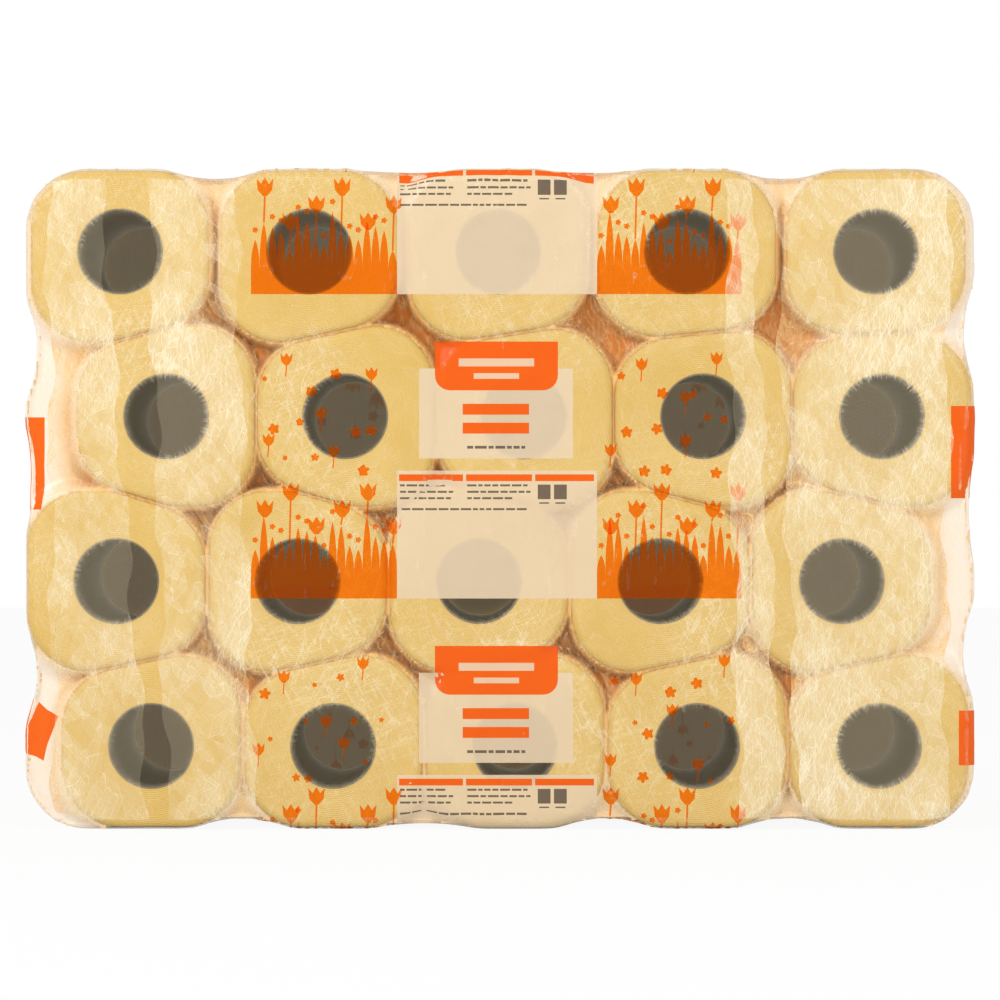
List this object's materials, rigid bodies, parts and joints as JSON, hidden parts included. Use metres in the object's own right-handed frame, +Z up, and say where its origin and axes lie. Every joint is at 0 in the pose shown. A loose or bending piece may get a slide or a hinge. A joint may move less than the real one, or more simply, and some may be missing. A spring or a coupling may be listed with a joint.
{
  "type": "toilet paper roll pack",
  "caption": "Bulk pack of honey-coloured toilet rolls on card tubes, in small film-wrapped bundles inside one clear printed film bag, standing on its long side.",
  "frame": {"origin": "middle of the underside, on the surface the pack stands on", "axes": "+X along the pack to the right as seen from the front, -Y out of the front where the roll ends face, +Z up"},
  "size_m": [0.5048, 0.203, 0.3505],
  "materials": {
    "honey_tissue": "soft two-ply tissue, honey yellow, fine crepe",
    "grey_card": "plain grey card tube",
    "bundle_film": "thin clear film, creased",
    "bag_film": "clear film with orange and cream print"
  },
  "bodies": {
    "root": {"bundle_wrap_b1_c1": "bundle_film", "bundle_wrap_b1_c2": "bundle_film", "bundle_wrap_b1_c3": "bundle_film", "bundle_wrap_b1_c4": "bundle_film", "bundle_wrap_b1_c5": "bundle_film", "bundle_wrap_b2_c1": "bundle_film", "bundle_wrap_b2_c2": "bundle_film", "bundle_wrap_b2_c3": "bundle_film", "bundle_wrap_b2_c4": "bundle_film", "bundle_wrap_b2_c5": "bundle_film", "core_tubes_c1": "grey_card", "core_tubes_c2": "grey_card", "core_tubes_c3": "grey_card", "core_tubes_c4": "grey_card", "core_tubes_c5": "grey_card", "outer_bag": "bag_film", "roll_back_r1_c1": "honey_tissue", "roll_back_r1_c2": "honey_tissue", "roll_back_r1_c3": "honey_tissue", "roll_back_r1_c4": "honey_tissue", "roll_back_r1_c5": "honey_tissue", "roll_back_r2_c1": "honey_tissue", "roll_back_r2_c2": "honey_tissue", "roll_back_r2_c3": "honey_tissue", "roll_back_r2_c4": "honey_tissue", "roll_back_r2_c5": "honey_tissue", "roll_back_r3_c1": "honey_tissue", "roll_back_r3_c2": "honey_tissue", "roll_back_r3_c3": "honey_tissue", "roll_back_r3_c4": "honey_tissue", "roll_back_r3_c5": "honey_tissue", "roll_back_r4_c1": "honey_tissue", "roll_back_r4_c2": "honey_tissue", "roll_back_r4_c3": "honey_tissue", "roll_back_r4_c4": "honey_tissue", "roll_back_r4_c5": "honey_tissue", "roll_front_r1_c1": "honey_tissue", "roll_front_r1_c2": "honey_tissue", "roll_front_r1_c3": "honey_tissue", "roll_front_r1_c4": "honey_tissue", "roll_front_r1_c5": "honey_tissue", "roll_front_r2_c1": "honey_tissue", "roll_front_r2_c2": "honey_tissue", "roll_front_r2_c3": "honey_tissue", "roll_front_r2_c4": "honey_tissue", "roll_front_r2_c5": "honey_tissue", "roll_front_r3_c1": "honey_tissue", "roll_front_r3_c2": "honey_tissue", "roll_front_r3_c3": "honey_tissue", "roll_front_r3_c4": "honey_tissue", "roll_front_r3_c5": "honey_tissue", "roll_front_r4_c1": "honey_tissue", "roll_front_r4_c2": "honey_tissue", "roll_front_r4_c3": "honey_tissue", "roll_front_r4_c4": "honey_tissue", "roll_front_r4_c5": "honey_tissue"}
  },
  "joints": []
}
